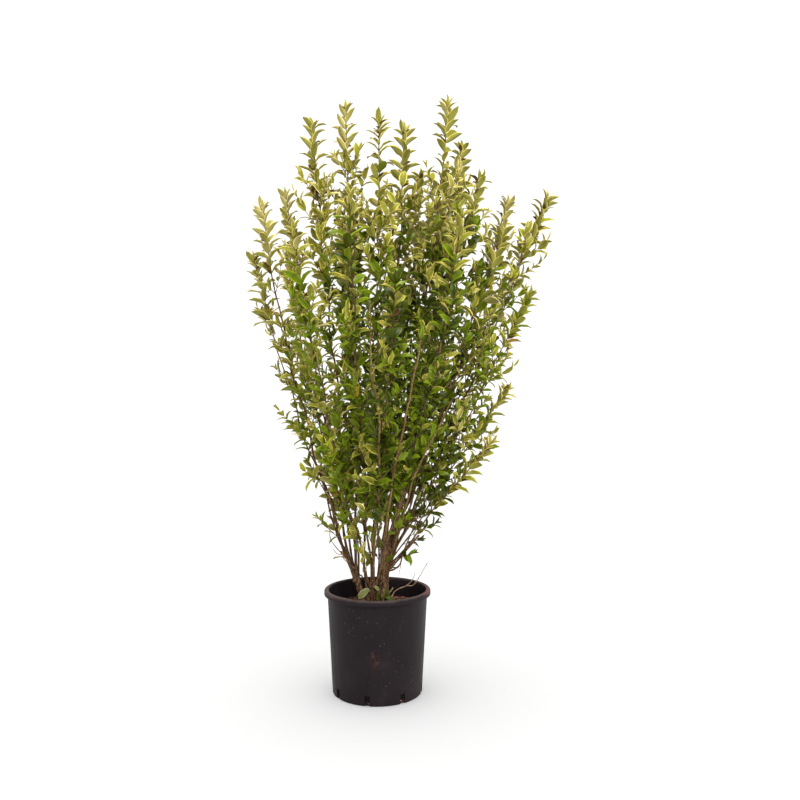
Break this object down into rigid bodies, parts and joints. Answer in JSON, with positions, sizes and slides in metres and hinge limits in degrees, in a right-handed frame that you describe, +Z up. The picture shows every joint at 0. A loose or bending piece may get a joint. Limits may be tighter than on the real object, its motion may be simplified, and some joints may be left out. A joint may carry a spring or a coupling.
{
  "type": "potted golden privet",
  "caption": "Bushy golden privet: gold-edged leaves on upright canes that fan out of old pruned stools, in a round black nursery pot",
  "frame": {"origin": "the middle of the pot's flat underside", "axes": "+Z is up along the pot's axis, the front in the picture faces -Y, and +X is to the right as seen from the front"},
  "size_m": [0.8636, 0.8441, 1.6877],
  "materials": {
    "pot_plastic": "dusty black injection-moulded plastic, scuffed",
    "potting_mix": "loose dark brown bark and peat",
    "old_bark": "rough grey-brown bark with pale cut ends",
    "cane_bark": "smooth light brown bark with small pale pores",
    "dry_wood": "dry dull grey-brown",
    "leaves": "smooth green leaves with golden yellow edges, slightly glossy"
  },
  "bodies": {
    "root": {"pot": "pot_plastic", "potting_mix": "potting_mix", "stool_left": "old_bark", "stool_front": "old_bark", "stool_right": "old_bark", "pruned_limb": "old_bark", "cut_stub": "cane_bark", "dry_twig": "dry_wood", "cane_back_left": "cane_bark", "cane_back_middle": "cane_bark", "cane_back_right": "cane_bark", "cane_front_left": "cane_bark", "cane_front_middle": "cane_bark", "cane_front_right": "cane_bark", "cane_front_spire": "cane_bark", "cane_left_back": "cane_bark", "cane_left_edge": "cane_bark", "cane_left_front": "cane_bark", "cane_left_high": "cane_bark", "cane_left_rear": "cane_bark", "cane_left_spire": "cane_bark", "cane_left_tall": "cane_bark", "cane_middle_spire": "cane_bark", "cane_rear_spire": "cane_bark", "cane_right_back": "cane_bark", "cane_right_edge": "cane_bark", "cane_right_front": "cane_bark", "cane_right_high": "cane_bark", "cane_right_inner": "cane_bark", "cane_right_low": "cane_bark", "cane_right_lowest": "cane_bark", "cane_right_shoulder": "cane_bark", "cane_right_tall": "cane_bark", "cane_tallest": "cane_bark", "foliage_back_left": "leaves", "foliage_back_middle": "leaves", "foliage_back_right": "leaves", "foliage_front_left": "leaves", "foliage_front_middle": "leaves", "foliage_front_right": "leaves", "foliage_front_spire": "leaves", "foliage_left_back": "leaves", "foliage_left_edge": "leaves", "foliage_left_front": "leaves", "foliage_left_high": "leaves", "foliage_left_rear": "leaves", "foliage_left_spire": "leaves", "foliage_left_tall": "leaves", "foliage_middle_spire": "leaves", "foliage_rear_spire": "leaves", "foliage_right_back": "leaves", "foliage_right_edge": "leaves", "foliage_right_front": "leaves", "foliage_right_high": "leaves", "foliage_right_inner": "leaves", "foliage_right_low": "leaves", "foliage_right_lowest": "leaves", "foliage_right_shoulder": "leaves", "foliage_right_tall": "leaves", "foliage_tallest": "leaves"}
  },
  "joints": []
}
